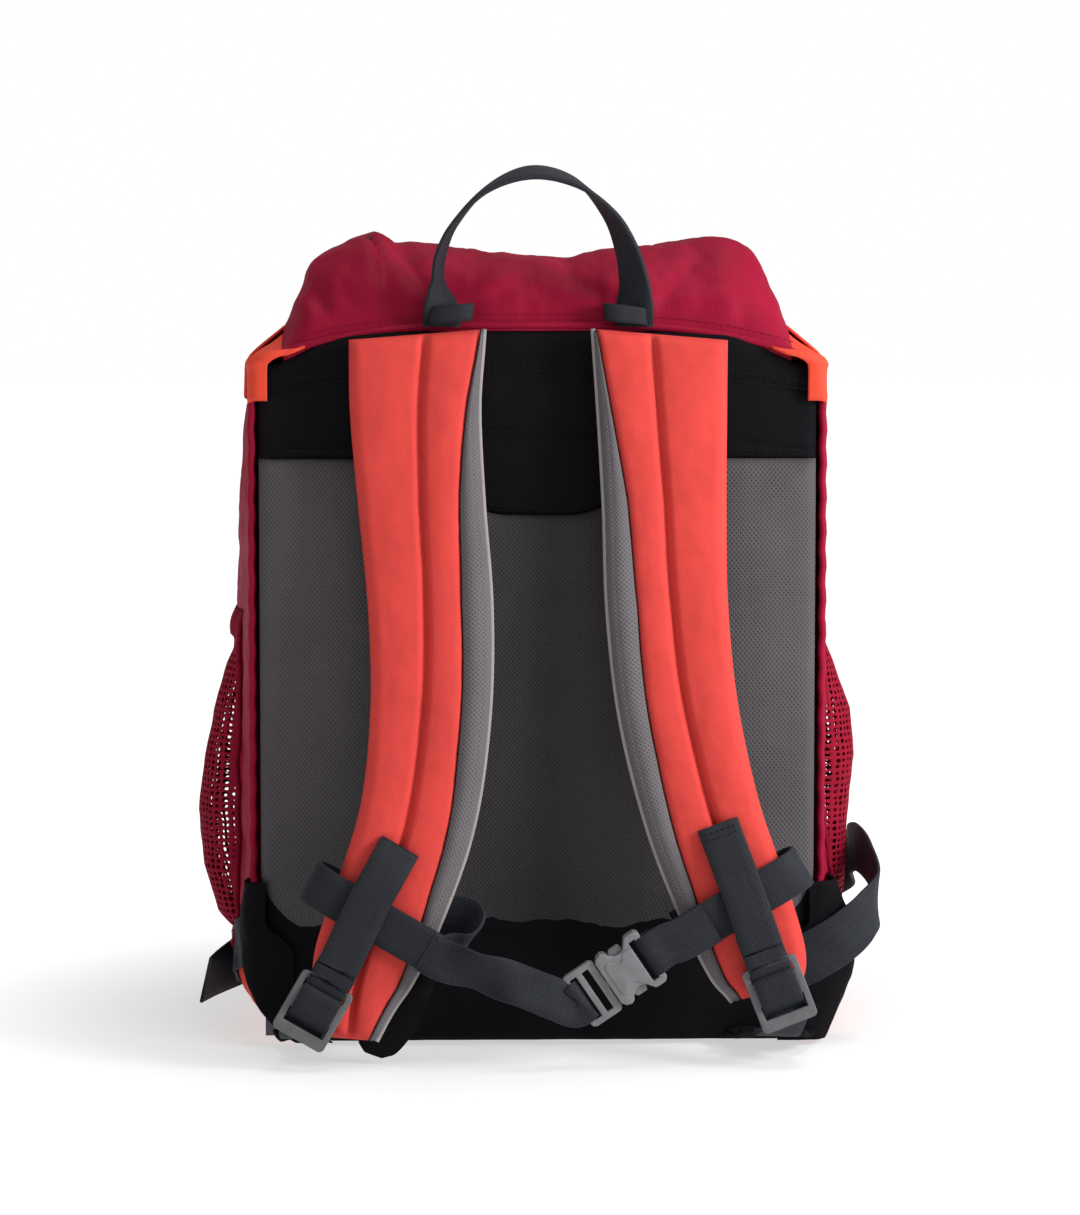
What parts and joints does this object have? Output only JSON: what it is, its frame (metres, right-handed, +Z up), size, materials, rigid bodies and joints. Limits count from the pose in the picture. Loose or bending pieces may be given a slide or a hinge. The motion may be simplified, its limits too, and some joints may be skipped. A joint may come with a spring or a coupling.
{
  "type": "daypack",
  "caption": "Small upright daypack with a hood lid, padded shoulder straps joined by a chest strap, mesh side pockets, a grab handle and a waist webbing.",
  "frame": {"origin": "centre of the base, on the surface that the pack stands on", "axes": "+Z up, the padded back panel faces -Y, +X to the right of someone looking at the back panel"},
  "size_m": [0.3286, 0.2445, 0.4218],
  "materials": {
    "crimson_cloth": "woven ripstop, satin",
    "orange_cloth": "plain weave, matt",
    "coral_face": "brushed face cloth over foam, matt",
    "grey_mesh": "spacer mesh, matt",
    "black_cloth": "plain weave, matt",
    "pocket_mesh": "open net, matt",
    "binding": "elastic tape, matt",
    "webbing_cloth": "ribbed webbing, matt",
    "lining_cloth": "coated lining, satin",
    "hook_loop": "hook and loop, matt",
    "moulded_plastic": "moulded acetal, satin",
    "sheet_plastic": "sheet, matt"
  },
  "bodies": {
    "pack": {"base_panel": "black_cloth", "left_side_panel": "crimson_cloth", "right_side_panel": "crimson_cloth", "front_panel": "crimson_cloth", "back_lining": "lining_cloth", "lower_band": "orange_cloth", "collar": "crimson_cloth", "frame_sheet": "sheet_plastic", "lower_back_panel": "black_cloth", "back_panel_pad": "grey_mesh", "yoke_panel": "black_cloth", "left_mesh_pocket": "pocket_mesh", "left_pocket_binding": "binding", "right_mesh_pocket": "pocket_mesh", "right_pocket_binding": "binding", "left_anchor_wing": "black_cloth", "right_anchor_wing": "black_cloth", "left_lower_webbing": "webbing_cloth", "right_lower_webbing": "webbing_cloth", "lid_rear_panel": "crimson_cloth", "lid_piping": "binding", "left_lid_corner": "orange_cloth", "right_lid_corner": "orange_cloth", "front_loop_patch": "hook_loop", "left_handle_tab": "webbing_cloth", "right_handle_tab": "webbing_cloth", "left_belt_webbing": "webbing_cloth", "left_belt_end": "webbing_cloth", "right_belt_webbing": "webbing_cloth", "belt_tail": "webbing_cloth", "belt_buckle_female": "moulded_plastic"},
    "lid": {"lid_top_panel": "crimson_cloth", "left_lid_skirt": "orange_cloth", "right_lid_skirt": "orange_cloth", "lid_front_skirt": "orange_cloth", "lid_hook_patch": "hook_loop"},
    "handle": {"grab_handle": "webbing_cloth"},
    "shoulder_left": {"left_pad_face": "coral_face", "left_pad_liner": "grey_mesh", "left_sewn_webbing": "webbing_cloth", "left_sternum_loop": "webbing_cloth", "left_sternum_webbing": "webbing_cloth"},
    "shoulder_right": {"right_pad_face": "coral_face", "right_pad_liner": "grey_mesh", "right_sewn_webbing": "webbing_cloth", "right_sternum_loop": "webbing_cloth", "right_sternum_webbing": "webbing_cloth", "sternum_buckle_female": "moulded_plastic"},
    "lock_left": {"left_ladder_lock": "moulded_plastic"},
    "lock_right": {"right_ladder_lock": "moulded_plastic"},
    "sternum_male": {"sternum_buckle_male": "moulded_plastic"},
    "sternum_prong_left": {"sternum_buckle_left_prong": "moulded_plastic"},
    "sternum_prong_right": {"sternum_buckle_right_prong": "moulded_plastic"},
    "belt_male": {"belt_buckle_male": "moulded_plastic"},
    "belt_prong_left": {"belt_buckle_left_prong": "moulded_plastic"},
    "belt_prong_right": {"belt_buckle_right_prong": "moulded_plastic"}
  },
  "joints": [
    {"name": "lid_hinge", "type": "hinge", "parent": "pack", "child": "lid", "pos_m": [0, -0.05, 0.384], "axis": [1, 0, 0], "range_deg": [0, 100]},
    {"name": "handle_fold", "type": "hinge", "parent": "pack", "child": "handle", "pos_m": [0, -0.091, 0.362], "axis": [1, 0, 0], "range_deg": [-12, 80]},
    {"name": "shoulder_left_swing", "type": "hinge", "parent": "pack", "child": "shoulder_left", "pos_m": [0, -0.095, 0.344], "axis": [-1, 0, 0], "range_deg": [-3, 25], "deforming": ["left_lower_webbing"]},
    {"name": "shoulder_right_swing", "type": "hinge", "parent": "pack", "child": "shoulder_right", "pos_m": [0, -0.095, 0.344], "axis": [-1, 0, 0], "range_deg": [-3, 25], "deforming": ["right_lower_webbing"]},
    {"name": "lock_left_tilt", "type": "hinge", "parent": "shoulder_left", "child": "lock_left", "pos_m": [-0.099, -0.1475, 0.042], "axis": [-0.8645, 0, 0.5026], "range_deg": [0, 30]},
    {"name": "lock_right_tilt", "type": "hinge", "parent": "shoulder_right", "child": "lock_right", "pos_m": [0.106, -0.1475, 0.05], "axis": [-0.9326, 0, -0.361], "range_deg": [0, 30]},
    {"name": "sternum_release", "type": "slide", "parent": "shoulder_left", "child": "sternum_male", "axis": [-0.829, 0, -0.5593], "range_m": [0, 0.018], "deforming": ["left_sternum_webbing"]},
    {"name": "belt_release", "type": "slide", "parent": "pack", "child": "belt_male", "axis": [-1, 0, 0], "range_m": [0, 0.018], "deforming": ["left_belt_end"]},
    {"name": "sternum_prong_left_press", "type": "hinge", "parent": "sternum_male", "child": "sternum_prong_left", "pos_m": [0.02597, -0.143, 0.04746], "axis": [0, 1, 0], "range_deg": [0, 7], "stiffness_Nm_per_rad": 0.02},
    {"name": "sternum_prong_right_press", "type": "hinge", "parent": "sternum_male", "child": "sternum_prong_right", "pos_m": [0.03603, -0.143, 0.03254], "axis": [0, -1, 0], "range_deg": [0, 7], "stiffness_Nm_per_rad": 0.02},
    {"name": "belt_prong_left_press", "type": "hinge", "parent": "belt_male", "child": "belt_prong_left", "pos_m": [0, 0.0885, 0.016], "axis": [0, -1, 0], "range_deg": [0, 7], "stiffness_Nm_per_rad": 0.02},
    {"name": "belt_prong_right_press", "type": "hinge", "parent": "belt_male", "child": "belt_prong_right", "pos_m": [0, 0.0885, 0.034], "axis": [0, 1, 0], "range_deg": [0, 7], "stiffness_Nm_per_rad": 0.02}
  ],
  "couplings": [
    {"joint": "shoulder_right_swing", "follows": "shoulder_left_swing", "ratio": 1}
  ]
}
